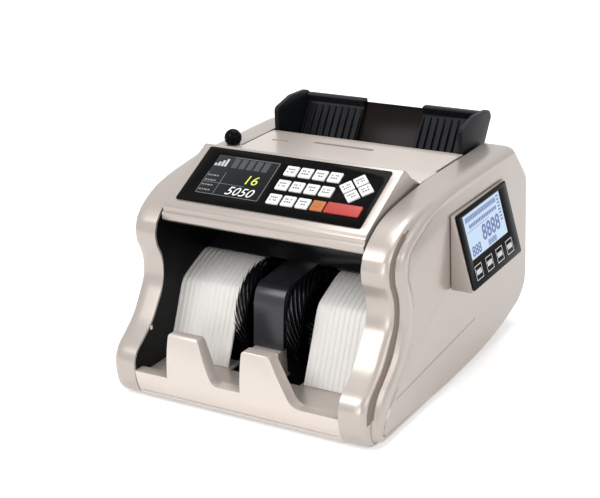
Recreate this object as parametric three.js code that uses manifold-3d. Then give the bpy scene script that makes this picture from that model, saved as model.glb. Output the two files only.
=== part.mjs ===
// Desktop banknote counting machine: hopper at the top rear, control pod and stacker at the front.
// Millimetres. +X is the right-hand side of someone facing the front, +Y runs to the rear, +Z is up.
import * as THREE from 'three';
import { ConvexGeometry } from 'three/addons/geometries/ConvexGeometry.js';
import * as BufferGeometryUtils from 'three/addons/utils/BufferGeometryUtils.js';
import Module from 'manifold-3d';

const wasm = await Module();
wasm.setup();

// ------------------------------------------------------------------ driving dimensions
const caseWidth = 280;            // over the two side covers
const caseDepth = 320;            // rear face, counted from the front line of the underside
const caseHeight = 190;           // top of the side covers, counted from their lower edge
const coverFlange = 32.2;         // width of the cover's turned-in front and top
const wall = 2.5;                 // moulded wall
const sheet = 1.8;                // side frame and base pan steel
const gap = 0.3;                  // between pieces that lie against each other
const edgeRound = { across: 14, inPlane: 6 };   // rounding where a cover's flange meets its side
const footHeight = 2.5;
const footRadius = 9;

const frontTop = 70;              // tip of the left tooth
const trayFloor = 22;             // top of the stacker floor
const trayWall = 11.5;            // thickness of the tray's front wall
const traySkin = 2.5;
const trayDepth = 62;             // rear edge of the stacker floor

const podSideGap = 1.9;           // air between the control pod and the covers
const panelAngle = THREE.MathUtils.degToRad(27.6);
const overlaySize = { width: 193.6, height: 69.4, thick: 1.2 };
const keySize = { width: 12.6, height: 11.8 };
const keyGap = { x: 2.5, y: 6 };   // between neighbouring keys of the keypad
const keyProud = 1.3;             // key top above the overlay
const navPitch = 13.3;            // between neighbouring keys of the arrow pad
const navKey = 11.6;
const startKeyHeight = 12.4;
const startKeyGap = 1.7;          // beside the last key of the lower row
const overlayMargin = 7.3;        // from the start key to the overlay's side
const displaySize = { width: 68, height: 50.5 };

const guideWall = 4;
const lipHeight = 24;             // hopper lip above the case top

const wheelRadius = 46;           // stacking wheel, over its vanes
const wheelWidth = 14;
const wheelOffset = 28;           // stacking wheel centre from the middle plane
const shaftRadius = 4;
const drumRadius = 20;
const drumWidth = 64;
const feedRadius = 13;

const knobRadius = 8.7;
const flapThick = 2.6;

// ------------------------------------------------------------------ derived places
const half = caseWidth / 2;
const inner = half - coverFlange;             // inner edge of the covers' flanges
const span = inner - gap;                     // half width of what fits between them
const rear = caseDepth;
const top = caseHeight;
const hopperFront = rear - 77;
const podRear = 150;

const impeller = { y: 95, z: 66 };
const motor = { y: 150, z: 44, radius: 20, length: 46 };
const feed = { y: rear - 70, z: top - 57.5 };
const drum = { y: feed.y - 45, z: top - 78 };
const pulley = { x: inner + sheet + 3, width: 7, motor: 8, impeller: 18, drum: 12 };

// ------------------------------------------------------------------ materials
function finish(color, roughness, metalness) {
  return new THREE.MeshStandardMaterial({ color, roughness, metalness });
}
const champagne = finish('#bdb0a6', 0.35, 0.35);
const blackGloss = finish('#0c0b0c', 0.12, 0.0);
const blackPlastic = finish('#17171a', 0.5, 0.0);
const ivory = finish('#d8d6cc', 0.45, 0.0);
const keyWhite = finish('#e8e8e6', 0.4, 0.0);
const keyOrange = finish('#c9772a', 0.4, 0.0);
const keyRed = finish('#c8403a', 0.4, 0.0);
const screenDark = finish('#20242a', 0.1, 0.0);
const screenPale = finish('#c4d8ee', 0.15, 0.0);
const steel = finish('#9a9da0', 0.35, 0.9);
const blackSteel = finish('#26262a', 0.5, 0.4);
const rubber = finish('#1a1a1a', 0.85, 0.0);
const boardGreen = finish('#1f5b36', 0.5, 0.0);

// ------------------------------------------------------------------ solids
const axisX = new THREE.Vector3(1, 0, 0);
const axisY = new THREE.Vector3(0, 1, 0);
const axisZ = new THREE.Vector3(0, 0, 1);

function toSolid(geometry) {
  const bare = geometry.clone();
  bare.deleteAttribute('normal');
  bare.deleteAttribute('uv');
  const welded = BufferGeometryUtils.mergeVertices(bare, 1e-4);
  const vertProperties = Float32Array.from(welded.attributes.position.array);
  const triVerts = Uint32Array.from(welded.index.array);
  return new wasm.Manifold(new wasm.Mesh({ numProp: 3, vertProperties, triVerts }));
}

function toGeometry(solid) {
  const mesh = solid.getMesh();
  const geometry = new THREE.BufferGeometry();
  geometry.setAttribute('position', new THREE.BufferAttribute(Float32Array.from(mesh.vertProperties), 3));
  geometry.setIndex(new THREE.BufferAttribute(Uint32Array.from(mesh.triVerts), 1));
  geometry.computeVertexNormals();
  return geometry;
}

function mirrorX(solid) {
  const geometry = toGeometry(solid);
  geometry.scale(-1, 1, 1);
  const index = geometry.index.array;
  for (let i = 0; i < index.length; i += 3) {
    [index[i], index[i + 1]] = [index[i + 1], index[i]];
  }
  return toSolid(geometry);
}

function polygon(points) {
  return new THREE.Shape(points.map(([a, b]) => new THREE.Vector2(a, b)));
}

function block(x0, x1, y0, y1, z0, z1) {
  const geometry = new THREE.BoxGeometry(x1 - x0, y1 - y0, z1 - z0);
  geometry.translate((x0 + x1) / 2, (y0 + y1) / 2, (z0 + z1) / 2);
  return toSolid(geometry);
}

function extruded(shape, depth, curveSegments) {
  return new THREE.ExtrudeGeometry(shape, { depth, bevelEnabled: false, curveSegments });
}

// A (y, z) outline carried along X.
function prismX(shape, x0, x1, curveSegments = 6) {
  const geometry = extruded(shape, x1 - x0, curveSegments);
  geometry.applyMatrix4(new THREE.Matrix4().makeBasis(axisY, axisZ, axisX));
  geometry.translate(x0, 0, 0);
  return toSolid(geometry);
}

// An (x, z) outline carried along Y.
function prismY(shape, y0, y1, curveSegments = 6) {
  const geometry = extruded(shape, y1 - y0, curveSegments);
  geometry.applyMatrix4(new THREE.Matrix4().makeBasis(axisX, axisZ, axisY.clone().negate()));
  geometry.translate(0, y1, 0);
  return toSolid(geometry);
}

// An (x, y) outline carried along Z.
// Turned about X: a list of [x, radius] from end to end.
function turnedX(profile, segments = 24) {
  const points = profile.map(([x, radius]) => new THREE.Vector2(radius, x));
  points.unshift(new THREE.Vector2(0, profile[0][0]));
  points.push(new THREE.Vector2(0, profile[profile.length - 1][0]));
  const geometry = new THREE.LatheGeometry(points, segments);
  geometry.rotateZ(-Math.PI / 2);
  return toSolid(geometry);
}

// Turned about Z: a list of [z, radius] from bottom to top.
function turnedZ(profile, segments = 24) {
  const points = profile.map(([z, radius]) => new THREE.Vector2(radius, z));
  points.unshift(new THREE.Vector2(0, profile[0][0]));
  points.push(new THREE.Vector2(0, profile[profile.length - 1][0]));
  const geometry = new THREE.LatheGeometry(points, segments);
  geometry.rotateX(Math.PI / 2);
  return toSolid(geometry);
}

// A disc along X whose centre is at (y, z).
function discX(x0, x1, y, z, radius, segments = 24) {
  return turnedX([[x0, radius], [x1, radius]], segments).translate([0, y, z]);
}

function roundedRect(width, height, radius) {
  const w = width / 2;
  const h = height / 2;
  const shape = new THREE.Shape();
  shape.moveTo(-w + radius, -h);
  shape.lineTo(w - radius, -h);
  shape.absarc(w - radius, -h + radius, radius, -Math.PI / 2, 0);
  shape.lineTo(w, h - radius);
  shape.absarc(w - radius, h - radius, radius, 0, Math.PI / 2);
  shape.lineTo(-w + radius, h);
  shape.absarc(-w + radius, h - radius, radius, Math.PI / 2, Math.PI);
  shape.lineTo(-w, -h + radius);
  shape.absarc(-w + radius, -h + radius, radius, Math.PI, 1.5 * Math.PI);
  return shape;
}

// A closed anticlockwise outline moved inwards by a distance.
function insetOutline(points, distance) {
  const count = points.length;
  return points.map((point, i) => {
    const before = point.clone().sub(points[(i + count - 1) % count]).normalize();
    const after = points[(i + 1) % count].clone().sub(point).normalize();
    const a = new THREE.Vector2(-before.y, before.x);
    const b = new THREE.Vector2(-after.y, after.x);
    const mitre = a.clone().add(b).divideScalar(1 + a.dot(b));
    return point.clone().addScaledVector(mitre, distance);
  });
}

// ------------------------------------------------------------------ the scene graph
const machine = new THREE.Group();

function part(name, solid, material, parent = machine) {
  const mesh = new THREE.Mesh(toGeometry(solid), material);
  mesh.name = name;
  parent.add(mesh);
  return mesh;
}

// ------------------------------------------------------------------ side outline
// (y, z) outline of the casing seen from its side, anticlockwise from the toe of the underside.
function casingOutline() {
  const v = (y, z) => new THREE.Vector2(y, z);
  const shape = new THREE.Shape();
  shape.moveTo(6, 0);
  shape.lineTo(rear - 180, 0);
  shape.quadraticCurveTo(rear - 70, 4, rear - 20, 22);
  shape.quadraticCurveTo(rear - 1, 32, rear, 50);
  shape.lineTo(rear, top - 44);
  shape.quadraticCurveTo(rear, top - 36, rear - 6, top - 30);
  shape.lineTo(rear - 28, top - 5);
  shape.quadraticCurveTo(rear - 33, top, rear - 40, top);
  shape.lineTo(160, top);
  shape.splineThru([v(124, top - 3), v(93, top - 6.5), v(70, top - 12.5), v(51, top - 23), v(41, top - 33)]);
  shape.quadraticCurveTo(35, top - 43, 38, top - 50);
  shape.lineTo(40, top - 55.4);
  shape.splineThru([v(43.5, top - 72), v(42, top - 90), v(34, 83), v(21, 66), v(5, 53)]);
  shape.quadraticCurveTo(-9, 44, -9.5, 31);
  shape.quadraticCurveTo(-9, 14, -2, 4);
  shape.quadraticCurveTo(1, 0, 6, 0);
  const points = shape.getPoints(3);
  points.pop();
  return points;
}
const casing = casingOutline();

// The casing's outline carried along X, straight-sided.
function casingSlab(inset, x0, x1) {
  return prismX(new THREE.Shape(insetOutline(casing, inset)), x0, x1);
}

// One half of the casing from the middle plane out to a rounded side.
function casingHalf(inset) {
  const shape = new THREE.Shape(insetOutline(casing, inset + edgeRound.inPlane));
  const geometry = new THREE.ExtrudeGeometry(shape, {
    depth: half - inset - 2 * edgeRound.across,
    bevelThickness: edgeRound.across,
    bevelSize: edgeRound.inPlane,
    bevelSegments: 3,
  });
  geometry.applyMatrix4(new THREE.Matrix4().makeBasis(axisY, axisZ, axisX));
  geometry.translate(edgeRound.across, 0, 0);
  return toSolid(geometry);
}

// ------------------------------------------------------------------ side covers
function sideCover() {
  const outside = block(inner, half + 10, -40, rear + 10, -10, top + 10);
  return casingHalf(0).intersect(outside).subtract(casingHalf(wall));
}

const knob = { x: -(half - 23), y: 185.5, rise: 6.3, stem: 3.6, depth: 30 };

function sideCovers() {
  const cover = sideCover();
  const knobHole = turnedZ([[top - 10, knob.stem + gap], [top + 5, knob.stem + gap]], 20);
  part('right_side_cover', cover, champagne);
  part('left_side_cover', mirrorX(cover).subtract(knobHole.translate([knob.x, knob.y, 0])), champagne);
}

// ------------------------------------------------------------------ feed gap knob
function feedGapKnob() {
  const arc = [];
  const low = -knob.rise + gap;
  const start = Math.asin(low / knobRadius);
  const steps = 8;
  for (let i = 0; i < steps; i += 1) {
    const angle = start + (i / steps) * (Math.PI / 2 - start);
    arc.push([knob.rise + knobRadius * Math.sin(angle), knobRadius * Math.cos(angle)]);
  }
  const profile = [[-knob.depth, knob.stem], [gap, knob.stem], ...arc, [knob.rise + knobRadius, 0.4]];
  const mesh = part('feed_gap_knob', turnedZ(profile, 28), blackGloss);
  mesh.position.set(knob.x, knob.y, top);
}

// ------------------------------------------------------------------ side frames
const board = { y0: 92, y1: 226, z0: 34, z1: 138, thick: 1.6, stand: 3 };

function sideFrames() {
  const bearing = shaftRadius + gap;
  const plate = casingSlab(wall + gap, inner, inner + sheet);
  const holes = [impeller, drum, feed].map(({ y, z }) => discX(inner - 1, inner + sheet + 1, y, z, bearing));
  const bored = holes.reduce((solid, hole) => solid.subtract(hole), plate);
  const motorHole = discX(inner - 1, inner + sheet + 1, motor.y, motor.z, 6);
  part('side_frame_right', bored.subtract(motorHole), blackSteel);
  const posts = [[board.y0 + 6, board.z0 + 6], [board.y1 - 6, board.z0 + 6], [board.y0 + 6, board.z1 - 6]];
  const left = posts.reduce((solid, [y, z]) => {
    return solid.add(discX(inner, inner + sheet + board.stand, y, z, 3, 12));
  }, bored);
  part('side_frame_left', mirrorX(left), blackSteel);
}

// ------------------------------------------------------------------ front tray
// Front face of the tray in (y, z): it follows the covers' toe and leans back above them.
function trayWallShape() {
  const shape = new THREE.Shape();
  shape.moveTo(6, 0.4);
  shape.quadraticCurveTo(1, 0.4, -2, 4);
  shape.quadraticCurveTo(-9, 14, -9.5, 31);
  shape.quadraticCurveTo(-8.5, 52, -3.2, frontTop - 2);
  shape.quadraticCurveTo(-2, frontTop, 0, frontTop);
  shape.lineTo(trayWall - 6, frontTop);
  shape.quadraticCurveTo(trayWall - 3.5, frontTop, trayWall - 3.6, frontTop - 3);
  shape.lineTo(trayWall - 9.5, trayFloor + 5);
  shape.quadraticCurveTo(trayWall - 9.5, trayFloor, trayWall - 4.5, trayFloor);
  shape.lineTo(trayDepth, trayFloor);
  shape.lineTo(trayDepth, trayFloor - traySkin);
  shape.lineTo(trayWall - 6, trayFloor - traySkin);
  shape.lineTo(6, 0.4);
  return shape;
}

// Front view outline in (x, z): two teeth with a straight left side and a raked right side.
function toothShape() {
  const right = { root: 8, tip: 36, foot: 62, top: frontTop - 1.5 };
  const left = { root: -71, tip: -40, foot: -25, top: frontTop };
  const shape = new THREE.Shape();
  shape.moveTo(-span, -5);
  shape.lineTo(span, -5);
  shape.lineTo(span, 27.5);
  shape.lineTo(right.foot + 7, 27.5);
  shape.quadraticCurveTo(right.foot, 28, right.foot - 4, 34);
  shape.lineTo(right.tip + 3, right.top - 4);
  shape.quadraticCurveTo(right.tip, right.top, right.tip - 4, right.top);
  shape.lineTo(right.root + 3, right.top);
  shape.quadraticCurveTo(right.root, right.top, right.root, right.top - 3);
  shape.lineTo(right.root, 31);
  shape.lineTo(left.foot + 9, 31);
  shape.quadraticCurveTo(left.foot + 3, 31, left.foot, 38);
  shape.lineTo(left.tip + 2.5, left.top - 4);
  shape.quadraticCurveTo(left.tip, left.top, left.tip - 4, left.top);
  shape.lineTo(left.root + 3, left.top);
  shape.quadraticCurveTo(left.root, left.top, left.root, left.top - 3);
  shape.lineTo(left.root, 28.5);
  shape.lineTo(-span, 28.5);
  return shape;
}

const centrePost = { half: 14.5, y0: 45, y1: 60, top: 47 };

function frontTray() {
  const body = prismX(trayWallShape(), -span, span);
  const cut = prismY(toothShape(), -20, trayDepth + 1);
  const hollow = prismX(polygon([[4, -1], [-4.5, 8], [-6.6, 24], [-0.6, 24], [0.6, 16]]), -span + 3, span - 3);
  const post = block(-centrePost.half, centrePost.half, centrePost.y0, centrePost.y1, trayFloor - 1, centrePost.top);
  const notches = [-1, 1].map((side) => {
    const edges = [side * (centrePost.half + 1), side * (ramp.inner - 3)];
    return block(Math.min(...edges), Math.max(...edges), centrePost.y0 - 3, trayDepth + 1, trayFloor - 10, trayFloor + 1);
  });
  part('front_tray', cutAll(body.intersect(cut).subtract(hollow).add(post), notches), champagne);
}

// ------------------------------------------------------------------ base pan and feet
const pan = { z0: 0.6, y0: 16, y1: rear - 108, side: 9 };

function basePan() {
  const shape = polygon([
    [-span, pan.z0], [span, pan.z0], [span, pan.side], [span - sheet, pan.side],
    [span - sheet, pan.z0 + sheet], [-span + sheet, pan.z0 + sheet], [-span + sheet, pan.side], [-span, pan.side],
  ]);
  part('base_pan', prismY(shape, pan.y0, pan.y1), blackSteel);
  const profile = [[-footHeight, footRadius - 1], [-footHeight + 1, footRadius], [pan.z0 - gap, footRadius]];
  const foot = turnedZ(profile, 20);
  const places = { left: -span + 18, right: span - 18 };
  const rows = { front: pan.y0 + 14, rear: pan.y1 - 14 };
  for (const [row, y] of Object.entries(rows)) {
    for (const [side, x] of Object.entries(places)) {
      part(`foot_${row}_${side}`, foot, rubber).position.set(x, y, 0);
    }
  }
}

// ------------------------------------------------------------------ rear cover, inlet and switch
const socket = { x: -72, z: 78, width: 28, height: 20, depth: 22 };
const rocker = { x: -72, z: 112, width: 13, height: 19, throw: THREE.MathUtils.degToRad(10) };

function rearCover() {
  const band = casingSlab(0, -span, span).subtract(casingSlab(wall, -half, half));
  const zone = block(-half, half, pan.y1 + gap, rear + 5, -10, top - 14);
  const inletHole = block(
    socket.x - socket.width / 2, socket.x + socket.width / 2, rear - 10, rear + 5,
    socket.z - socket.height / 2, socket.z + socket.height / 2,
  );
  const rockerHole = block(
    rocker.x - rocker.width / 2 - gap, rocker.x + rocker.width / 2 + gap, rear - 10, rear + 5,
    rocker.z - rocker.height / 2 - gap, rocker.z + rocker.height / 2 + gap,
  );
  let cover = band.intersect(zone).subtract(inletHole).subtract(rockerHole);
  for (let i = 0; i < 9; i += 1) {
    const x = 20 + i * 8;
    cover = cover.subtract(block(x, x + 3.2, rear - 10, rear + 5, 66, 118));
  }
  part('rear_cover', cover, blackPlastic);
}

function powerInlet() {
  const w = socket.width / 2 - gap;
  const h = socket.height / 2 - gap;
  const body = block(-w, w, -socket.depth, -0.4, -h, h);
  const recess = block(-w + 2.5, w - 2.5, -16, 5, -h + 2.5, h - 2.5);
  let inlet = body.subtract(recess);
  for (const [x, z] of [[-7, -1.5], [0, 2.5], [7, -1.5]]) {
    inlet = inlet.add(block(x - 1, x + 1, -17, -6, z - 2, z + 2));
  }
  part('power_inlet', inlet, blackPlastic).position.set(socket.x, rear, socket.z);
}

function powerSwitch() {
  const w = rocker.width / 2;
  const h = rocker.height / 2 - 1.2;
  const shape = new THREE.Shape();
  shape.moveTo(-6, -5);
  shape.lineTo(1.2, -h);
  shape.quadraticCurveTo(-0.6, 0, 1.2, h);
  shape.lineTo(-6, 5);
  const turned = new THREE.Group();
  turned.position.set(rocker.x, rear - 2.4, rocker.z);
  turned.rotation.x = rocker.throw;
  machine.add(turned);
  part('power_switch', prismX(shape, -w, w), blackPlastic, turned);
}

// ------------------------------------------------------------------ control pod
const podSide = span - podSideGap;
const podLow = [[48.6, top - 33], [podRear, top - 2.4]];

// Height of the pod's lower edge at a distance from the front.
function podUnderside(y) {
  const [[y0, z0], [y1, z1]] = podLow;
  return z0 + ((z1 - z0) * (y - y0)) / (y1 - y0);
}

function podOutline() {
  const seat = { y: 57.6, z: top - 13.5 - overlaySize.thick };
  const run = overlaySize.height + 4;
  const crest = { y: seat.y + run * Math.cos(panelAngle), z: seat.z + run * Math.sin(panelAngle) };
  return [
    [48.6, top - 33], [podRear, top - 2.4], [podRear, top + 0.6], [crest.y + 14, top + 8.5],
    [crest.y + 3.5, crest.z - 0.8], [crest.y, crest.z], [seat.y - 2, seat.z - 2 * Math.tan(panelAngle)],
    [52.6, top - 17], [51.6, top - 19.6], [49.9, top - 20.2], [49.9, top - 24.2],
    [47.4, top - 25.4], [47.2, top - 31.4],
  ].map(([y, z]) => new THREE.Vector2(y, z));
}

const keyPitch = { x: keySize.width + keyGap.x, y: keySize.height + keyGap.y };
const keypadLeft = 1.5;
const keys = [];
const rowNames = ['lower', 'middle', 'upper'];
const rowHeights = [16.7, 16.7 + keyPitch.y, 16.7 + 2 * keyPitch.y];
rowNames.forEach((row, r) => {
  for (let c = 0; c < 4; c += 1) {
    const place = { x: keypadLeft + c * keyPitch.x, y: rowHeights[r] };
    const material = r === 0 && c === 3 ? keyOrange : keyWhite;
    keys.push({ name: `key_${row}_${c + 1}`, ...place, size: keySize, turn: 0, material });
  }
});
const startEdges = {
  left: keypadLeft + 3 * keyPitch.x + keySize.width / 2 + startKeyGap,
  right: overlaySize.width / 2 - overlayMargin,
};
const startCentre = (startEdges.left + startEdges.right) / 2;
const startKey = { width: startEdges.right - startEdges.left, height: startKeyHeight };
const navCentre = { x: startCentre + 0.8, y: 43.2 };
const navStep = navPitch / Math.SQRT2;
const navPlaces = { up: [0, 1], right: [1, 0], down: [0, -1], left: [-1, 0] };
for (const [name, [x, y]] of Object.entries(navPlaces)) {
  const place = { x: navCentre.x + x * navStep, y: navCentre.y + y * navStep };
  const size = { width: navKey, height: navKey };
  keys.push({ name: `key_arrow_${name}`, ...place, size, turn: Math.PI / 4, material: keyWhite });
}
keys.push({ name: 'key_start', x: startCentre, y: 17, size: startKey, turn: 0, material: keyRed });

const display = { x: -48, y: 36.3 };

// A rounded upright block at a place on the panel, in the panel's own frame.
function panelBlock(place, width, height, radius, z0, z1, turn = 0) {
  const geometry = extruded(roundedRect(width, height, radius), z1 - z0, 2);
  geometry.rotateZ(turn);
  geometry.translate(place.x, place.y, z0);
  return toSolid(geometry);
}

// Square-cornered holes for the keys and the display, all the way through between two depths.
function panelHoles(z0, z1) {
  const places = [...keys, { ...display, size: displaySize, turn: 0 }];
  return places.map(({ x, y, size, turn }) => {
    const geometry = new THREE.BoxGeometry(size.width + 2 * gap, size.height + 2 * gap, z1 - z0);
    geometry.rotateZ(turn);
    geometry.translate(x, y, (z0 + z1) / 2);
    return toSolid(geometry);
  });
}

function cutAll(solid, cuts) {
  return cuts.reduce((rest, cut) => rest.subtract(cut), solid);
}

const panelPlace = new THREE.Vector3(0, 57.6, top - 13.5);

// A solid drawn in the panel's frame, brought into the machine's frame.
function fromPanel(solid) {
  const geometry = toGeometry(solid);
  geometry.rotateX(panelAngle);
  geometry.translate(panelPlace.x, panelPlace.y, panelPlace.z);
  return toSolid(geometry);
}

function controlPod() {
  const outline = podOutline();
  const skin = prismX(new THREE.Shape(outline), -podSide, podSide);
  const hollowOutline = insetOutline(outline, wall);
  hollowOutline[0].set(podLow[0][0] + wall, podUnderside(podLow[0][0] + wall) - 8);
  hollowOutline[1].set(podRear - wall, podUnderside(podRear - wall) - 8);
  const hollow = prismX(new THREE.Shape(hollowOutline), -podSide + wall, podSide - wall);
  const holes = panelHoles(-9, 4).map(fromPanel);
  part('control_pod', cutAll(skin.subtract(hollow), holes), champagne);
}

const panel = new THREE.Group();
panel.position.copy(panelPlace);
panel.rotation.x = panelAngle;
machine.add(panel);

function panelPieces() {
  const { width, height, thick } = overlaySize;
  const sheetBlock = panelBlock({ x: 0, y: height / 2 }, width, height, 2, -thick + gap, 0);
  part('panel_overlay', cutAll(sheetBlock, panelHoles(-5, 5)), blackGloss, panel);
  const glass = panelBlock({ x: 0, y: 0 }, displaySize.width, displaySize.height, 0.8, -7, -gap);
  const backing = panelBlock({ x: 0, y: 0 }, displaySize.width + 5, displaySize.height + 4, 1, -8.5, -thick - wall - gap);
  part('display_module', glass.add(backing), screenDark, panel).position.set(display.x, display.y, 0);
  for (const key of keys) {
    const cap = panelBlock({ x: 0, y: 0 }, key.size.width, key.size.height, 0.9, -6, keyProud);
    const mesh = part(key.name, cap, key.material, panel);
    mesh.position.set(key.x, key.y, 0);
    mesh.rotation.z = key.turn;
  }
}

function podBase() {
  const y0 = podLow[0][0] + wall + 0.6;
  const y1 = podRear - 1;
  const thick = 3;
  const shape = polygon([
    [y0, podUnderside(y0) - gap - thick], [y1, podUnderside(y1) - gap - thick],
    [y1, podUnderside(y1) - gap], [y0, podUnderside(y0) - gap],
  ]);
  part('pod_base', prismX(shape, -span, span), blackPlastic);
}

// ------------------------------------------------------------------ top flap
const hinge = { y: podRear + 0.5 + flapThick / 2, z: top + 0.6 - flapThick / 2 };

function topFlap() {
  const r = flapThick / 2;
  const slotWidth = 2.3;
  const shape = new THREE.Shape();
  shape.moveTo(hinge.y, hinge.z - r);
  shape.lineTo(hopperFront - 0.6, hinge.z - r);
  shape.lineTo(hopperFront - 0.6, hinge.z + r - 0.6);
  shape.lineTo(hopperFront - 12, hinge.z + r);
  shape.lineTo(hinge.y, hinge.z + r);
  shape.absarc(hinge.y, hinge.z, r, Math.PI / 2, 1.5 * Math.PI);
  const leaf = prismX(shape, -span, span);
  const slotStart = hopperFront - 59;
  const rightSlot = block(span - slotWidth, span + 5, slotStart, rear, top - 20, top + 20);
  const leftSlot = block(-span - 5, -span + slotWidth, slotStart, rear, top - 20, top + 20);
  part('top_flap', leaf.subtract(rightSlot).subtract(leftSlot), champagne);
}

// ------------------------------------------------------------------ hopper
const wing = { inner: 33.5, outer: inner - 7.4, thick: 2.4 };
const rakeLow = { y: rear - 54, z: top - 38 };
const rakeHigh = { y: rear - 18, z: top + 16 };
const lip = { front: rear - 19.5, back: rear - 10.5, low: top + 15.5, high: top + lipHeight };
const rack = { y0: rear - 33, y1: rear - 27, high: 4.5, pinion: 7.2, z: top - 30 };

function wingShape(thick) {
  return polygon([
    [rakeLow.y, rakeLow.z], [rakeLow.y + thick, rakeLow.z], [rakeHigh.y + thick, rakeHigh.z],
    [lip.front + thick + 0.6, lip.high - 2.2], [lip.back - 2.2, lip.high - 2.2], [lip.back - 2.2, lip.low],
    [lip.back, lip.low], [lip.back, lip.high - 1.5], [lip.back - 1.5, lip.high],
    [lip.front + 1.2, lip.high], [lip.front - 0.6, lip.high - 1.4], [rakeHigh.y, rakeHigh.z],
  ]);
}

function earShape() {
  const y = hopperFront;
  const shape = new THREE.Shape();
  shape.moveTo(y, top - 34);
  shape.lineTo(rakeLow.y + 6, top - 38);
  shape.lineTo(rear - 26, top - 1);
  shape.lineTo(rear - 12.5, top + 19);
  shape.quadraticCurveTo(rear - 13, top + 27, rear - 22, top + 28.5);
  shape.lineTo(y + 28, top + 29.5);
  shape.lineTo(y + 4, top + 24);
  shape.quadraticCurveTo(y, top + 23, y, top + 18);
  return shape;
}

function hopperGuide() {
  const back = prismX(wingShape(wing.thick), wing.inner, wing.outer);
  const ear = prismX(earShape(), wing.outer - 0.5, wing.outer + guideWall);
  let guide = back.add(ear);
  const slope = (rakeHigh.y - rakeLow.y) / (rakeHigh.z - rakeLow.z);
  const along = (z) => rakeLow.y + (z - rakeLow.z) * slope;
  const low = rakeLow.z + 6;
  const mid = top + 1;
  const high = rakeHigh.z - 2;
  const rib = polygon([
    [along(low) + 1, low], [along(high) + 1, high], [along(high) - 2.2, high],
    [along(mid) - 2.2, mid + 2.5], [along(mid) - 4, mid], [along(low) - 4, low],
  ]);
  const ribs = 9;
  for (let i = 0; i < ribs; i += 1) {
    const x = wing.inner + 1 + (i * (wing.outer - wing.inner - 6)) / (ribs - 1);
    guide = guide.add(prismX(rib, x, x + 1.6));
  }
  return guide;
}

// The rack bar of one guide: it reaches from behind the wing past the pinion.
function rackBar(z) {
  const post = { x0: wing.outer - 14, x1: wing.outer - 2 };
  const bar = block(-26, post.x1, rack.y0, rack.y1, z, z + rack.high);
  const low = Math.min(z, rack.z + rack.pinion + gap);
  const column = block(post.x0, post.x1, rack.y0, rack.y1, low, rack.z + rack.pinion + gap + rack.high);
  const reach = block(
    post.x0, post.x1, rakeLow.y + 10, rack.y1,
    rack.z + rack.pinion + gap, rack.z + rack.pinion + gap + rack.high,
  );
  return bar.add(column).add(reach);
}

function hopper() {
  const upper = rack.z + rack.pinion + gap;
  const lower = rack.z - rack.pinion - gap - rack.high;
  part('hopper_guide_right', hopperGuide().add(rackBar(upper)), blackPlastic);
  part('hopper_guide_left', mirrorX(hopperGuide().add(rackBar(lower))), blackPlastic);
  const shift = wing.thick + 2 * gap;
  const shape = polygon([
    [rakeLow.y - 1, rakeLow.z - 3.4], [rakeLow.y + shift + wing.thick, rakeLow.z - 3.4],
    [rakeHigh.y + shift + wing.thick - 0.8, rakeHigh.z - 1], [lip.back - 3.2, lip.low + 1],
    [lip.back - 3.2, lip.high - 3.2], [lip.front + wing.thick + 1.6, lip.high - 3.2],
    [rakeHigh.y + shift, rakeHigh.z], [rakeLow.y + shift, rakeLow.z], [rakeLow.y + shift - 0.4, rakeLow.z - 1],
  ]);
  const back = prismX(shape, -58, 58);
  const floorShape = polygon([
    [hopperFront - 28, top - 56], [rakeLow.y + 1, rakeLow.z - 3.4], [rakeLow.y + 1, rakeLow.z - 1],
    [hopperFront - 28, top - 53.4],
  ]);
  let floor = prismX(floorShape, -span, span);
  for (const x of [-feedOffset, feedOffset]) {
    const w = feedWidth / 2 + 1;
    floor = floor.subtract(block(x - w, x + w, feed.y - 11, feed.y + 10, 0, top));
  }
  const stub = discY(rack.y0 - 12, rack.y1 + 1.5, 0, rack.z, 2.6);
  part('hopper_back', back.add(floor).add(stub), blackPlastic);
  const pinion = discY(rack.y0, rack.y1, 0, rack.z, rack.pinion, 24);
  part('guide_pinion', pinion.subtract(discY(rack.y0 - 1, rack.y1 + 1, 0, rack.z, 2.6 + gap)), ivory);
}

// A disc along Y whose centre is at (x, z).
function discY(y0, y1, x, z, radius, segments = 16) {
  const geometry = new THREE.CylinderGeometry(radius, radius, y1 - y0, segments);
  geometry.translate(x, (y0 + y1) / 2, z);
  return toSolid(geometry);
}

// ------------------------------------------------------------------ stacker
const ramp = { inner: 41, low: [44, trayFloor + gap], knee: [74, 90], crest: [108, 105], end: [118, 107] };
const guideEnd = [150, 113];      // rear end of the black guide behind the ramps
const sweepGap = 1.5;             // air round what turns

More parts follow.
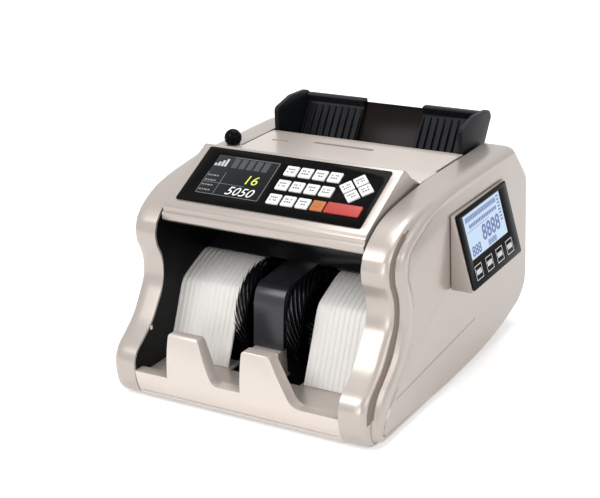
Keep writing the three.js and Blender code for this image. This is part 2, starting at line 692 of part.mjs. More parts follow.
function stackerPlate() {
  const t = wall;
  const shape = new THREE.Shape();
  shape.moveTo(...ramp.low);
  shape.lineTo(ramp.low[0] + t, ramp.low[1]);
  shape.lineTo(ramp.knee[0] + t - 2, ramp.knee[1] - 9);
  shape.quadraticCurveTo(ramp.knee[0] + 2.4, ramp.knee[1] - 1.4, ramp.knee[0] + 8, ramp.knee[1] + 1);
  shape.lineTo(ramp.crest[0], ramp.crest[1] - t);
  shape.lineTo(ramp.end[0], ramp.end[1] - t);
  shape.lineTo(...ramp.end);
  shape.lineTo(...ramp.crest);
  shape.lineTo(ramp.knee[0] + 6, ramp.knee[1] + 2.6);
  shape.quadraticCurveTo(ramp.knee[0] - 0.6, ramp.knee[1] - 0.6, ramp.knee[0] - 3.8, ramp.knee[1] - 9);
  const plate = prismX(shape, ramp.inner, span);
  const ribShape = new THREE.Shape();
  const out = 1.4;
  ribShape.moveTo(ramp.low[0] + 1, ramp.low[1] + 1);
  ribShape.lineTo(ramp.knee[0] - 2.8, ramp.knee[1] - 9);
  ribShape.quadraticCurveTo(ramp.knee[0] + 0.4, ramp.knee[1] - 1.6, ramp.knee[0] + 7, ramp.knee[1] + 1.6);
  ribShape.lineTo(ramp.crest[0], ramp.crest[1] - 1);
  ribShape.lineTo(ramp.crest[0], ramp.crest[1] + out);
  ribShape.lineTo(ramp.knee[0] + 5, ramp.knee[1] + 2.6 + out);
  ribShape.quadraticCurveTo(ramp.knee[0] - 2, ramp.knee[1] - 0.4, ramp.knee[0] - 3.8 - out, ramp.knee[1] - 9);
  ribShape.lineTo(ramp.low[0] - out, ramp.low[1] + 1);
  const ribs = 8;
  let ribbed = plate;
  for (let i = 0; i < ribs; i += 1) {
    const x = ramp.inner + 1 + (i * (span - ramp.inner - 5)) / (ribs - 1);
    ribbed = ribbed.add(prismX(ribShape, x, x + 2.2, 3));
  }
  return ribbed;
}

const nose = { half: 16, front: 56, low: centrePost.top + gap, top: 104 };

function chuteNose() {
  const t = wall;
  const shape = new THREE.Shape();
  shape.moveTo(nose.front - 4, nose.low);
  shape.lineTo(nose.front - 4 + t, nose.low);
  shape.lineTo(nose.front + t, nose.low + 38);
  shape.quadraticCurveTo(nose.front + 5, nose.top - 4, nose.front + 14, nose.top - 2);
  shape.lineTo(ramp.end[0] + 2, ramp.end[1] - 1);
  shape.lineTo(ramp.end[0] + 2, ramp.end[1] + 1.5);
  shape.lineTo(nose.front + 13, nose.top + 0.5);
  shape.quadraticCurveTo(nose.front + 2, nose.top - 2, nose.front, nose.low + 38);
  const skin = prismX(shape, -nose.half, nose.half);
  const cheek = polygon([
    [nose.front - 3, nose.low], [impeller.y - shaftRadius - 2, nose.low],
    [impeller.y - shaftRadius - 2, nose.top - 1], [nose.front + 12, nose.top - 1.5], [nose.front + 1, nose.low + 38],
  ]);
  const left = prismX(cheek, -nose.half, -nose.half + t);
  const right = prismX(cheek, nose.half - t, nose.half);
  const behind = ramp.end[0] + gap;
  const guide = prismX(polygon([
    [behind, ramp.end[1] - 1.6], [guideEnd[0], guideEnd[1] - 1.6], [guideEnd[0], guideEnd[1]], [behind, ramp.end[1] + 0.4],
  ]), -span, span);
  const sweeps = [-wheelOffset, wheelOffset].map((x) => {
    const w = wheelWidth / 2 + sweepGap;
    return discX(x - w, x + w, impeller.y, impeller.z, wheelRadius + sweepGap, 48);
  });
  sweeps.push(discX(-drumWidth / 2 - sweepGap, drumWidth / 2 + sweepGap, drum.y, drum.z, drumRadius + sweepGap, 48));
  part('chute_nose', cutAll(skin.add(left).add(right).add(guide), sweeps), blackPlastic);
}

function stackingWheel() {
  const hub = discX(-wheelWidth / 2, wheelWidth / 2, 0, 0, 14, 20);
  const vanes = 11;
  let wheel = hub;
  for (let i = 0; i < vanes; i += 1) {
    const turn = (i / vanes) * 2 * Math.PI;
    const outer = [];
    const innerSide = [];
    const steps = 6;
    for (let j = 0; j <= steps; j += 1) {
      const t = j / steps;
      const radius = 11 + t * (wheelRadius - 11);
      const angle = turn - 0.95 * t * t;
      const slip = 1.1 / radius;
      outer.push([radius * Math.cos(angle + slip), radius * Math.sin(angle + slip)]);
      innerSide.unshift([radius * Math.cos(angle - slip), radius * Math.sin(angle - slip)]);
    }
    const vane = polygon([...innerSide, ...outer].reverse());
    wheel = wheel.add(prismX(vane, -wheelWidth / 2, wheelWidth / 2));
  }
  return wheel.subtract(discX(-wheelWidth, wheelWidth, 0, 0, shaftRadius + gap, 20));
}

function stacker() {
  part('stacker_plate_right', stackerPlate(), ivory);
  part('stacker_plate_left', mirrorX(stackerPlate()), ivory);
  chuteNose();
  const wheel = stackingWheel();
  part('stacking_wheel_right', wheel, rubber).position.set(wheelOffset, impeller.y, impeller.z);
  part('stacking_wheel_left', wheel, rubber).position.set(-wheelOffset, impeller.y, impeller.z);
}

// ------------------------------------------------------------------ shafts, rollers and drive
const feedOffset = 38;
const feedWidth = 15;
const shaftEnd = inner + sheet + 1;

function shaftsAndRollers() {
  const plain = turnedX([[-shaftEnd, shaftRadius], [pulley.x - gap, shaftRadius]], 20);
  const geared = turnedX([[-shaftEnd, shaftRadius], [pulley.x + pulley.width + 2, shaftRadius]], 20);
  part('stacking_shaft', geared, steel).position.set(0, impeller.y, impeller.z);
  const toDrum = turnedX([
    [-shaftEnd, shaftRadius], [pulley.x, shaftRadius], [pulley.x, pulley.drum],
    [pulley.x + pulley.width, pulley.drum],
  ], 24);
  part('transport_shaft', toDrum, steel).position.set(0, drum.y, drum.z);
  part('feed_shaft', plain, steel).position.set(0, feed.y, feed.z);
  const sleeve = (width, radius) => {
    return discX(-width / 2, width / 2, 0, 0, radius, 32).subtract(discX(-width, width, 0, 0, shaftRadius + gap, 20));
  };
  part('transport_drum', sleeve(drumWidth, drumRadius), rubber).position.set(0, drum.y, drum.z);
  part('feed_roller_left', sleeve(feedWidth, feedRadius), rubber).position.set(-feedOffset, feed.y, feed.z);
  part('feed_roller_right', sleeve(feedWidth, feedRadius), rubber).position.set(feedOffset, feed.y, feed.z);
}

function drive() {
  const axleRadius = 2.5;
  const can = turnedX([[inner - gap - motor.length, motor.radius - 1.5], [inner - gap - motor.length + 2, motor.radius],
    [inner - gap, motor.radius]], 28);
  const bore = discX(inner - 14, inner + 5, 0, 0, axleRadius + gap, 16);
  part('main_motor', can.subtract(bore), steel).position.set(0, motor.y, motor.z);
  const rotor = turnedX([[inner - 13, axleRadius], [pulley.x, axleRadius], [pulley.x, pulley.motor],
    [pulley.x + pulley.width, pulley.motor]], 24);
  part('motor_pulley', rotor, steel).position.set(0, motor.y, motor.z);
  const wheel = discX(pulley.x, pulley.x + pulley.width, 0, 0, pulley.impeller, 28);
  const bored = wheel.subtract(discX(pulley.x - 1, pulley.x + pulley.width + 1, 0, 0, shaftRadius + gap, 20));
  part('stacking_pulley', bored, blackPlastic).position.set(0, impeller.y, impeller.z);
  const loop = (extra) => hullOfCircles([
    { ...impeller, radius: pulley.impeller + extra }, { ...motor, radius: pulley.motor + extra },
    { ...drum, radius: pulley.drum + extra },
  ]);
  const shape = new THREE.Shape(loop(gap + 1.4));
  shape.holes.push(new THREE.Path(loop(gap)));
  part('drive_belt', prismX(shape, pulley.x + 0.8, pulley.x + pulley.width - 0.8), rubber);
}

// The taut outline round a set of circles in the (y, z) plane.
function hullOfCircles(circles) {
  const cloud = [];
  for (const { y, z, radius } of circles) {
    const steps = 28;
    for (let i = 0; i < steps; i += 1) {
      const angle = (i / steps) * 2 * Math.PI;
      cloud.push(new THREE.Vector2(y + radius * Math.cos(angle), z + radius * Math.sin(angle)));
    }
  }
  cloud.sort((a, b) => a.x - b.x || a.y - b.y);
  const turnsRight = (a, b, c) => b.clone().sub(a).cross(c.clone().sub(a)) <= 1e-9;
  const chain = (points) => {
    const hull = [];
    for (const point of points) {
      while (hull.length > 1 && turnsRight(hull[hull.length - 2], hull[hull.length - 1], point)) hull.pop();
      hull.push(point);
    }
    hull.pop();
    return hull;
  };
  return [...chain(cloud), ...chain([...cloud].reverse())];
}

// ------------------------------------------------------------------ electronics
function electronics() {
  const x0 = -(inner + sheet + board.stand + gap);
  const x1 = x0 - board.thick;
  let card = block(x1, x0, board.y0, board.y1, board.z0, board.z1);
  card = card.add(block(x1 - 12, x1 + 0.2, board.y0 + 14, board.y0 + 50, board.z0 + 20, board.z0 + 56));
  card = card.add(block(x1 - 8, x1 + 0.2, board.y1 - 40, board.y1 - 12, board.z1 - 24, board.z1 - 12));
  card = card.add(block(x1 - 3, x1 + 0.2, board.y0 + 66, board.y0 + 92, board.z0 + 34, board.z0 + 60));
  part('main_board', card, boardGreen);
  const floor = pan.z0 + sheet + gap;
  const supply = block(-88, 8, pan.y1 - 62, pan.y1 - 6, floor, floor + 34);
  part('power_supply', supply, steel);
}

// ------------------------------------------------------------------ side display
const sideDisplay = { width: 111, height: 71, tilt: 14.2, yaw: -1.3, front: 144.6, high: top - 24.6, proud: 5 };
const sideScreen = { x0: 11.3, x1: 92.2, y0: 4.7, y1: 45.5 };

function sideDisplayPieces() {
  const { width, height, front, high, proud } = sideDisplay;
  const tilt = THREE.MathUtils.degToRad(sideDisplay.tilt);
  const yaw = THREE.MathUtils.degToRad(sideDisplay.yaw);
  const mount = new THREE.Group();
  mount.position.set(half + proud, front, high);
  mount.rotation.set(Math.PI / 2 - tilt, 0, Math.PI / 2 - yaw, 'ZYX');
  machine.add(mount);
  mount.updateMatrixWorld(true);
  const toCase = mount.matrixWorld;
  const rim = 1.2;
  const panelThick = 1.2;
  const seat = -panelThick - gap;
  const corners = [
    [-rim, rim], [width + rim, rim], [width + rim, -height - rim], [-rim, -height - rim],
  ].map(([x, y]) => new THREE.Vector3(x, y, seat).applyMatrix4(toCase));
  const foot = half + gap;
  const points = [...corners, ...corners.map((c) => new THREE.Vector3(foot, c.y, c.z))];
  part('side_display_bezel', toSolid(new ConvexGeometry(points)), champagne);
  const centre = { x: width / 2, y: -height / 2 };
  const screen = {
    x: (sideScreen.x0 + sideScreen.x1) / 2, y: -(sideScreen.y0 + sideScreen.y1) / 2,
    width: sideScreen.x1 - sideScreen.x0, height: sideScreen.y1 - sideScreen.y0,
  };
  const glass = panelBlock(centre, width, height, 2.5, seat + gap, 0);
  const window = panelBlock(screen, screen.width + 2 * gap, screen.height + 2 * gap, 1, -5, 5);
  part('side_display_panel', glass.subtract(window), blackGloss, mount);
  part('side_display_screen', panelBlock(screen, screen.width, screen.height, 0.8, seat + gap, -0.2), screenPale, mount);
}

// ------------------------------------------------------------------ assembly
sideCovers();
feedGapKnob();
sideFrames();
frontTray();
basePan();
rearCover();
powerInlet();
powerSwitch();
controlPod();
panelPieces();
podBase();
topFlap();
hopper();
stacker();
shaftsAndRollers();
drive();
electronics();
sideDisplayPieces();

// The row's origin is the middle of the footprint, at the level of the feet.
const group = new THREE.Group();
group.add(machine);
const box = new THREE.Box3().setFromObject(machine, true);
machine.position.set(-(box.min.x + box.max.x) / 2, -(box.min.y + box.max.y) / 2, -box.min.z);

export default group;
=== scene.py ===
"""Desktop banknote counting machine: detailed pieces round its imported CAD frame."""
import math
import bmesh
import bpy
from bpy.props import FloatProperty, FloatVectorProperty, PointerProperty
from mathutils import Matrix, Vector


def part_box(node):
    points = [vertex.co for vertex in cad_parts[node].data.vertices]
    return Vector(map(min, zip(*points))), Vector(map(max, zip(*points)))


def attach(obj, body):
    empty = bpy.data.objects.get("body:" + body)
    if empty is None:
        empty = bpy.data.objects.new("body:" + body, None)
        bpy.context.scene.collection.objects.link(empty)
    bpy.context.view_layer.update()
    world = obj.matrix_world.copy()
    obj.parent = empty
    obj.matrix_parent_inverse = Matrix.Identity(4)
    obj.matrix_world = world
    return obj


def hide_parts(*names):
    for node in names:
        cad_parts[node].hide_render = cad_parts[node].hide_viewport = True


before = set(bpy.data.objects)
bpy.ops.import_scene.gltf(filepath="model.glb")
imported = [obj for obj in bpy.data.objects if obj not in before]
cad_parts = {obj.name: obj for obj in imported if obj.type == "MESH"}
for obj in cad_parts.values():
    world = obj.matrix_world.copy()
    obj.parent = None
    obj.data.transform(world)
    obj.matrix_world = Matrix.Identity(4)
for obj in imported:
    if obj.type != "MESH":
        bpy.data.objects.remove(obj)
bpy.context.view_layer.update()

bl_info = {
    "name": "Banknote counting machine",
    "version": (1, 0, 0),
    "blender": (4, 5, 0),
    "location": "View3D > Sidebar > Counter",
    "description": "Models a desktop banknote counting machine piece by piece",
    "category": "Object",
}

MM = 0.001
BODY = "machine"
CASE = {"depth": 320.0, "half": 140.0, "flat": 139.3}


def machine_origin():
    """Middle of the case in plan, at the front line of its underside."""
    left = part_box("left_side_cover")[0]
    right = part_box("right_side_cover")[1]
    return Vector(((left.x + right.x) / 2, right.y - CASE["depth"] * MM, left.z))


ORIGIN = machine_origin()
PANEL_ANGLE = math.radians(27.6)
PANEL = Matrix.Translation(ORIGIN + Vector((0, 57.6, 176.5)) * MM) @ Matrix.Rotation(PANEL_ANGLE, 4, "X")
MACHINE = Matrix.Translation(ORIGIN)


# ------------------------------------------------------------------ properties
class CounterSizes(bpy.types.PropertyGroup):
    edge: FloatProperty(name="Edge round", description="Rounding of moulded edges", default=0.0012,
                        min=0.0001, unit="LENGTH", subtype="DISTANCE")
    cover_wall: FloatProperty(name="Cover wall", description="Thickness of the side covers", default=0.0022,
                              min=0.0005, unit="LENGTH", subtype="DISTANCE")
    legend: FloatProperty(name="Legend height", description="Height of the marks on a key", default=0.0016,
                          min=0.0002, unit="LENGTH", subtype="DISTANCE")
    rib: FloatProperty(name="Rib width", description="Width of a rib on the note plates", default=0.0024,
                       min=0.0002, unit="LENGTH", subtype="DISTANCE")


class CounterColours(bpy.types.PropertyGroup):
    shell: FloatVectorProperty(name="Shell", description="Champagne lacquer of the casing", subtype="COLOR",
                               size=4, min=0, max=1, default=(0.43, 0.383, 0.350, 1))
    ivory: FloatVectorProperty(name="Ivory", description="Ribbed plates that the notes slide on", subtype="COLOR",
                               size=4, min=0, max=1, default=(0.84, 0.82, 0.79, 1))
    charcoal: FloatVectorProperty(name="Charcoal", description="Hopper mouldings", subtype="COLOR",
                                  size=4, min=0, max=1, default=(0.0045, 0.0050, 0.0068, 1))
    keys: FloatVectorProperty(name="Keys", description="White keys", subtype="COLOR",
                              size=4, min=0, max=1, default=(0.78, 0.78, 0.77, 1))
    start: FloatVectorProperty(name="Start key", description="Red start key", subtype="COLOR",
                               size=4, min=0, max=1, default=(0.40, 0.03, 0.022, 1))


def sizes():
    return bpy.context.scene.counter_sizes


def colours():
    return bpy.context.scene.counter_colours


# ------------------------------------------------------------------ modelling tools
def deselect():
    if bpy.context.mode != "OBJECT":
        bpy.ops.object.mode_set(mode="OBJECT")
    bpy.ops.object.select_all(action="DESELECT")


def pick(obj):
    deselect()
    obj.select_set(True)
    bpy.context.view_layer.objects.active = obj


def edit(obj):
    pick(obj)
    bpy.ops.object.mode_set(mode="EDIT")
    bpy.ops.mesh.select_all(action="SELECT")


def done():
    bpy.ops.object.mode_set(mode="OBJECT")


def settle(obj, place):
    """Puts the object at its place and leaves the place in its mesh."""
    obj.matrix_basis = place @ obj.matrix_basis
    pick(obj)
    bpy.ops.object.transform_apply(location=True, rotation=True, scale=True)
    return obj


def smooth(obj, angle=35):
    pick(obj)
    bpy.ops.object.shade_smooth_by_angle(angle=math.radians(angle))
    return obj


def apply_bevel(obj, width, segments=3, angle=32):
    pick(obj)
    bevel = obj.modifiers.new("Bevel", "BEVEL")
    bevel.width = width
    bevel.segments = segments
    bevel.limit_method = "ANGLE"
    bevel.angle_limit = math.radians(angle)
    bevel.harden_normals = False
    bevel.use_clamp_overlap = True
    bpy.ops.object.modifier_apply(modifier=bevel.name)
    return obj


def finish_piece(obj, name, material, body=BODY, replaces=()):
    obj.name = name
    obj.data.name = name
    obj.data.materials.clear()
    obj.data.materials.append(material)
    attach(obj, body)
    if replaces:
        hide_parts(*replaces)
    return obj


def refined(node, edge, segments=3, angle=32, dissolve=1.5):
    """A copy of a frame node with its facets joined and its edges rounded."""
    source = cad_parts[node]
    obj = bpy.data.objects.new(node + "_moulded", source.data.copy())
    bpy.context.scene.collection.objects.link(obj)
    for key in list(obj.data.attributes.keys()):
        if key == "custom_normal" or key == "sharp_face":
            obj.data.attributes.remove(obj.data.attributes[key])
    edit(obj)
    bpy.ops.mesh.remove_doubles(threshold=0.00001)
    bpy.ops.mesh.dissolve_limited(angle_limit=math.radians(dissolve))
    bpy.ops.mesh.select_all(action="SELECT")
    bpy.ops.mesh.faces_shade_smooth()
    done()
    if edge:
        apply_bevel(obj, edge, segments, angle)
    return smooth(obj, 38)


def blocks(name, boxes, place, edge=0):
    """Small blocks in one mesh; each is (x0, x1, y0, y1, z0, z1) in millimetres."""
    deselect()
    x0, x1, y0, y1, z0, z1 = [v * MM for v in boxes[0]]
    bpy.ops.mesh.primitive_cube_add(size=1, location=((x0 + x1) / 2, (y0 + y1) / 2, (z0 + z1) / 2),
                                    scale=(x1 - x0, y1 - y0, z1 - z0))
    obj = bpy.context.object
    obj.name = name
    bpy.ops.object.transform_apply(location=True, rotation=True, scale=True)
    bpy.ops.object.mode_set(mode="EDIT")
    for bounds in boxes[1:]:
        x0, x1, y0, y1, z0, z1 = [v * MM for v in bounds]
        bpy.ops.mesh.primitive_cube_add(size=1, location=((x0 + x1) / 2, (y0 + y1) / 2, (z0 + z1) / 2),
                                        scale=(x1 - x0, y1 - y0, z1 - z0))
    if edge:
        bpy.ops.mesh.select_all(action="SELECT")
        bpy.ops.mesh.bevel(offset=edge * MM, segments=2, affect="EDGES")
    done()
    return settle(obj, place)


def lettered(name, words, size, x, y, z, place, deep=0.05, shear=0.0, bold=0.0):
    """Plain figures, size in millimetres, as a thin raised mesh."""
    deselect()
    bpy.ops.object.text_add()
    obj = bpy.context.object
    obj.data.body = words
    obj.data.size = size * MM
    obj.data.shear = shear
    obj.data.extrude = deep * MM
    obj.data.offset = bold * MM
    obj.data.resolution_u = 3
    bpy.ops.object.convert(target="MESH")
    obj = bpy.context.object
    obj.name = name
    obj.location = Vector((x, y, z)) * MM
    return settle(obj, place)


def joined(parts, name):
    pick(parts[0])
    for part in parts[1:]:
        part.select_set(True)
    bpy.ops.object.join()
    parts[0].name = name
    return parts[0]


def lofted(name, rings):
    """A skin through closed rings of points in millimetres, its last ring filled."""
    deselect()
    count, turns = len(rings[0]), len(rings)
    bpy.ops.mesh.primitive_grid_add(x_subdivisions=count - 1, y_subdivisions=turns - 1, size=0.1)
    obj = bpy.context.object
    obj.name = name
    flat = [point for ring in rings for point in ring]
    for vertex, point in zip(obj.data.vertices, flat):
        vertex.co = Vector(point) * MM
    edit(obj)
    bpy.ops.mesh.remove_doubles(threshold=0.000001)
    mesh = bmesh.from_edit_mesh(obj.data)
    bpy.ops.mesh.select_all(action="DESELECT")
    for edge in mesh.edges:
        last = all(abs(v.co.x - rings[-1][0][0] * MM) < 1e-6 for v in edge.verts)
        edge.select_set(edge.is_boundary and last)
    bmesh.update_edit_mesh(obj.data)
    bpy.ops.mesh.edge_face_add()
    bpy.ops.mesh.select_all(action="SELECT")
    bpy.ops.mesh.normals_make_consistent(inside=False)
    done()
    return obj


# ------------------------------------------------------------------ finishes
def node_group(name, inputs, outputs):
    group = bpy.data.node_groups.new(name, "ShaderNodeTree")
    for label, kind, default in inputs:
        socket = group.interface.new_socket(label, in_out="INPUT", socket_type=kind)
        if default is not None:
            socket.default_value = default
    for label, kind in outputs:
        group.interface.new_socket(label, in_out="OUTPUT", socket_type=kind)
    return group, group.nodes.new("NodeGroupInput"), group.nodes.new("NodeGroupOutput")


def moulded_grain():
    """Fine spark or grain with slow colour drift: colour, roughness and height."""
    if "Moulded grain" in bpy.data.node_groups:
        return bpy.data.node_groups["Moulded grain"]
    group, start, end = node_group(
        "Moulded grain",
        [("Vector", "NodeSocketVector", None), ("Scale", "NodeSocketFloat", 1500.0),
         ("Dark", "NodeSocketColor", (0.1, 0.1, 0.1, 1)), ("Light", "NodeSocketColor", (0.2, 0.2, 0.2, 1)),
         ("Rough low", "NodeSocketFloat", 0.3), ("Rough high", "NodeSocketFloat", 0.4)],
        [("Color", "NodeSocketColor"), ("Roughness", "NodeSocketFloat"), ("Height", "NodeSocketFloat")])
    link = group.links.new
    fine = group.nodes.new("ShaderNodeTexNoise")
    fine.inputs["Detail"].default_value = 3
    slow = group.nodes.new("ShaderNodeTexNoise")
    slow.inputs["Scale"].default_value = 14
    slow.inputs["Detail"].default_value = 4
    link(start.outputs["Vector"], fine.inputs["Vector"])
    link(start.outputs["Scale"], fine.inputs["Scale"])
    link(start.outputs["Vector"], slow.inputs["Vector"])
    both = group.nodes.new("ShaderNodeMath")
    both.operation = "MULTIPLY_ADD"
    both.inputs[1].default_value = 0.45
    link(fine.outputs["Fac"], both.inputs[0])
    half = group.nodes.new("ShaderNodeMath")
    half.operation = "MULTIPLY"
    half.inputs[1].default_value = 0.55
    link(slow.outputs["Fac"], half.inputs[0])
    link(half.outputs[0], both.inputs[2])
    mix = group.nodes.new("ShaderNodeMix")
    mix.data_type = "RGBA"
    link(both.outputs[0], mix.inputs["Factor"])
    link(start.outputs["Dark"], mix.inputs["A"])
    link(start.outputs["Light"], mix.inputs["B"])
    link(mix.outputs["Result"], end.inputs["Color"])
    spread = group.nodes.new("ShaderNodeMapRange")
    link(slow.outputs["Fac"], spread.inputs["Value"])
    link(start.outputs["Rough low"], spread.inputs["To Min"])
    link(start.outputs["Rough high"], spread.inputs["To Max"])
    link(spread.outputs["Result"], end.inputs["Roughness"])
    link(fine.outputs["Fac"], end.inputs["Height"])
    return group


def scaled(colour, factor):
    return tuple(min(1, c * factor) for c in colour[:3]) + (1,)


def grained(name, colour, metallic=0.0, rough=(0.35, 0.45), scale=1400, bump=0.05, drift=0.12, coat=0.0,
            gleam=0.5):
    if name in bpy.data.materials:
        return bpy.data.materials[name]
    material = bpy.data.materials.new(name)
    material.use_nodes = True
    tree = material.node_tree
    shader = tree.nodes["Principled BSDF"]
    place = tree.nodes.new("ShaderNodeTexCoord")
    grain = tree.nodes.new("ShaderNodeGroup")
    grain.node_tree = moulded_grain()
    grain.inputs["Scale"].default_value = scale
    grain.inputs["Dark"].default_value = scaled(colour, 1 - drift)
    grain.inputs["Light"].default_value = scaled(colour, 1 + drift)
    grain.inputs["Rough low"].default_value = rough[0]
    grain.inputs["Rough high"].default_value = rough[1]
    height = tree.nodes.new("ShaderNodeBump")
    height.inputs["Strength"].default_value = bump
    height.inputs["Distance"].default_value = 0.0004
    tree.links.new(place.outputs["Object"], grain.inputs["Vector"])
    tree.links.new(grain.outputs["Color"], shader.inputs["Base Color"])
    tree.links.new(grain.outputs["Roughness"], shader.inputs["Roughness"])
    tree.links.new(grain.outputs["Height"], height.inputs["Height"])
    tree.links.new(height.outputs["Normal"], shader.inputs["Normal"])
    shader.inputs["Metallic"].default_value = metallic
    shader.inputs["Coat Weight"].default_value = coat
    shader.inputs["Coat Roughness"].default_value = 0.12
    shader.inputs["Specular IOR Level"].default_value = gleam
    return material


def glowing(name, colour, strength):
    if name in bpy.data.materials:
        return bpy.data.materials[name]
    material = grained(name, scaled(colour, 0.25), rough=(0.12, 0.2), bump=0.0, coat=0.4)
    shader = material.node_tree.nodes["Principled BSDF"]
    shader.inputs["Emission Color"].default_value = scaled(colour, 1)
    shader.inputs["Emission Strength"].default_value = strength
    return material


def shell():
    return grained("Champagne lacquer", tuple(colours().shell), 0.55, (0.27, 0.34), 2600, 0.03, 0.08, 0.15)


# Painted shade: a darker champagne that stands in for the shadow in recesses. It is laid on the side seam line, the
# bottom of the groove and the flap's groove.
def painted_recess_shade():
    return grained("Champagne shadow", (0.20, 0.155, 0.125), 0.3, (0.5, 0.6))


# Painted light: a copy of the shell lacquer made 1.42 times as bright. It stands in for the stronger light falling
# on the tray and the flap.
def lit_shell_copy():
    return grained("Lit champagne copy", scaled(tuple(colours().shell), 1.42), 0.4, (0.3, 0.38), 2600, 0.03, 0.05, 0.15)


def gloss_black():
    return grained("Polished black", (0.002, 0.0018, 0.002), 0.0, (0.1, 0.16), 700, 0.005, 0.2, 0.0, 0.05)


def charcoal():
    return grained("Charcoal moulding", tuple(colours().charcoal), 0.0, (0.36, 0.46), 1700, 0.12, 0.15, 0.0, 0.14)


def matt_black():
    return grained("Black moulding", (0.002, 0.002, 0.0026), 0.0, (0.38, 0.5), 1700, 0.1, 0.2, 0.0, 0.12)


def throat_black():
    return grained("Smoked black", (0.006, 0.004, 0.0035), 0.0, (0.2, 0.3), 1200, 0.03, 0.3, 0.0, 0.1)


def wheel_black():
    return grained("Wheel polymer", (0.005, 0.0055, 0.008), 0.0, (0.16, 0.24), 900, 0.03, 0.2, 0.1, 0.5)


def ivory():
    return grained("Ivory moulding", tuple(colours().ivory), 0.0, (0.38, 0.48), 1500, 0.06, 0.06)


def rubber():
    return grained("Matt rubber", (0.018, 0.018, 0.019), 0.0, (0.7, 0.85), 1200, 0.25, 0.25)


def key_white():
    return grained("White keys", tuple(colours().keys), 0.0, (0.35, 0.42), 900, 0.03, 0.04)


def legend_ink():
    return grained("Legend ink", (0.05, 0.05, 0.055), 0.0, (0.5, 0.6))


def brushed(name, colour, rough=(0.25, 0.4)):
    return grained(name, colour, 0.95, rough, 900, 0.08, 0.15)


# ------------------------------------------------------------------ outlines
def spline(points, steps):
    """Points of a smooth curve through the given ones."""
    curve = []
    count = len(points)
    for i in range(count - 1):
        p0 = points[max(i - 1, 0)]
        p1, p2 = points[i], points[i + 1]
        p3 = points[min(i + 2, count - 1)]
        for j in range(steps):
            t = j / steps
            curve.append(tuple(
                0.5 * (2 * b + (c - a) * t + (2 * a - 5 * b + 4 * c - d) * t * t + (3 * b - a - 3 * c + d) * t ** 3)
                for a, b, c, d in zip(p0, p1, p2, p3)))
    return curve


def even(points, count):
    """The same line as count steps of equal length, without its last point."""
    lengths = [0.0]
    for a, b in zip(points, points[1:]):
        lengths.append(lengths[-1] + math.dist(a, b))
    line = []
    k = 0
    for i in range(count):
        target = lengths[-1] * i / count
        while lengths[k + 1] < target:
            k += 1
        share = (target - lengths[k]) / max(lengths[k + 1] - lengths[k], 1e-9)
        line.append(tuple(a + (b - a) * share for a, b in zip(points[k], points[k + 1])))
    return line


def run(points, count, steps=8):
    return even(spline(points, steps) + [points[-1]], count)


# Stretches of the casing's side outline: outer line, inner line, steps and how much bead each end has.
STRETCHES = (
    ([(6, 0), (140, 0)], [(16, 8), (140, 8)], 16, 1, 0),
    ([(140, 0), (200, 2.5), (250, 8.5), (300, 22), (312, 30), (318.5, 40), (320, 50)],
     [(140, 8), (200, 10.5), (246, 16), (292, 28), (303, 35), (310, 43), (312, 52)], 18, 0, 0),
    ([(320, 50), (320, 100), (320, 146)], [(312, 52), (312, 100), (312, 143)], 8, 0, 0),
    ([(320, 146), (318.5, 154), (314, 160), (300, 176), (292, 185), (287, 189), (280, 190)],
     [(312, 143), (311, 149), (307, 155), (294, 170), (287, 178), (283, 181), (277, 182)], 16, 0, 0),
    ([(280, 190), (160, 190)], [(277, 182), (160, 182)], 12, 0, 0),
    ([(160, 190), (124, 187), (93, 183.5), (70, 177.5), (51, 167), (41, 157)],
     [(160, 182), (130, 178), (108, 172), (96.5, 166.5), (84, 161.5), (74.4, 156)], 26, 0, 1),
    ([(41, 157), (37.4, 147), (37.6, 140), (38.6, 134.2)], [(74.4, 156), (71.5, 150), (70, 143), (68.8, 134)], 10, 1, 1),
    ([(38.6, 134.2), (44.6, 120), (45.2, 107), (42, 95), (34, 83), (21, 66), (5, 53)],
     [(68.8, 134), (73.5, 117), (75.5, 105), (77, 92), (73, 72), (58, 54)], 34, 1, 1),
    ([(5, 53), (-4, 46), (-8.6, 38), (-9.5, 31), (-8.8, 20), (-6, 10), (-2, 4), (2, 0.9), (6, 0)],
     [(58, 54), (44, 42), (33, 34), (25, 27), (19, 20), (15.5, 15), (14, 11), (14.5, 9), (16, 8)], 24, 1, 1),
)
# The joint between the side and its skirt, drawn as a thin line of painted shade, and where the painted shade at
# the bottom of the groove lies.
SEAM = ((36.0, 33.0), (196.0, 46.6))
GROOVE = {"from": 133.2, "to": 134.15, "low": 25.0, "high": 176.0, "back": 75.0}
# Section of the cover, from its inner edge to its flat side: share of the way to the inner line, and x.
BEAD = ((0, 107.8), (0, 121), (0.005, 127), (0.035, 130.6), (0.11, 133.0), (0.20, 133.9), (0.28, 134.0),
        (0.33, 133.4), (0.37, 134.2), (0.41, 136.6), (0.49, 139.0), (0.60, 140.0), (0.74, 139.9),
        (0.86, 139.0), (0.94, 138.3), (1.0, 139.3))
ROUND = ((0, 107.8), (0, 119), (0, 124), (0.01, 127.5), (0.05, 130.4), (0.11, 132.8), (0.19, 134.8),
         (0.28, 136.3), (0.38, 137.4), (0.49, 138.2), (0.60, 138.7), (0.70, 139.0), (0.80, 139.2),
         (0.88, 139.3), (0.95, 139.3), (1.0, 139.3))


def cover_rings(side):
    outer, inner, bead = [], [], []
    for line, twin, count, start, end in STRETCHES:
        outer += run(line, count)
        inner += run(twin, count)
        bead += [start + (end - start) * (3 * t * t - 2 * t ** 3) for t in (i / count for i in range(count))]
    rings = []
    for (bead_share, bead_x), (round_share, round_x) in zip(BEAD, ROUND):
        ring = []
        for p, q, weight in zip(outer, inner, bead):
            share = round_share + (bead_share - round_share) * weight
            x = round_x + (bead_x - round_x) * weight
            ring.append((side * x, p[0] + (q[0] - p[0]) * share, p[1] + (q[1] - p[1]) * share))
        rings.append(ring + ring[:1])
    return rings


